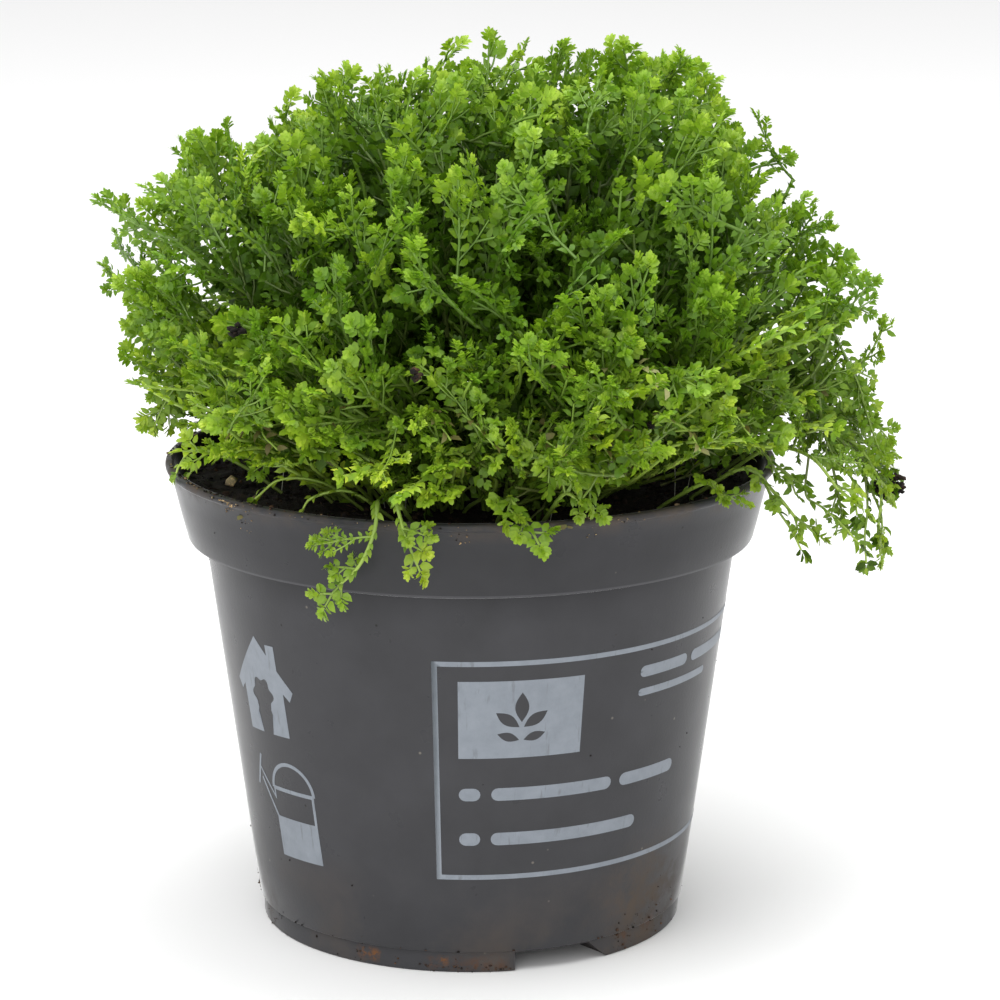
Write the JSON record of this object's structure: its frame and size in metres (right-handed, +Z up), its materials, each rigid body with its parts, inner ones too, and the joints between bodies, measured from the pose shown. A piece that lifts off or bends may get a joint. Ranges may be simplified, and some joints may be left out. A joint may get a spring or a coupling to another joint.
{
  "type": "potted spikemoss",
  "caption": "Spikemoss plant with a dense dome of small toothed sprays, standing in peat in a grey plastic nursery pot with a flared collar",
  "frame": {"origin": "centre of the pot's underside, on the flat middle that stands on the surface", "axes": "+Z up along the pot's axis, -Y towards the viewer of the picture, +X to their right"},
  "size_m": [0.1593, 0.1569, 0.1773],
  "materials": {
    "pot": "thin dark grey plastic with a soft sheen",
    "soil": "dark crumbly peat",
    "foliage": "fresh green leaves, yellow-green at the tips"
  },
  "bodies": {
    "root": {"pot": "pot", "soil": "soil", "trail_01": "foliage", "trail_02": "foliage", "trail_03": "foliage", "trail_04": "foliage", "trail_05": "foliage", "trail_06": "foliage", "trail_07": "foliage", "trail_08": "foliage", "trail_09": "foliage", "tuft_01": "foliage", "tuft_02": "foliage", "tuft_03": "foliage", "tuft_04": "foliage", "tuft_05": "foliage", "tuft_06": "foliage", "tuft_07": "foliage", "tuft_08": "foliage", "tuft_09": "foliage", "tuft_10": "foliage", "tuft_11": "foliage", "tuft_12": "foliage", "tuft_13": "foliage", "tuft_14": "foliage", "tuft_15": "foliage", "tuft_16": "foliage", "tuft_17": "foliage", "tuft_18": "foliage", "tuft_19": "foliage", "tuft_20": "foliage", "tuft_21": "foliage", "tuft_22": "foliage", "tuft_23": "foliage", "tuft_24": "foliage", "tuft_25": "foliage", "tuft_26": "foliage", "tuft_27": "foliage", "tuft_28": "foliage"}
  },
  "joints": []
}
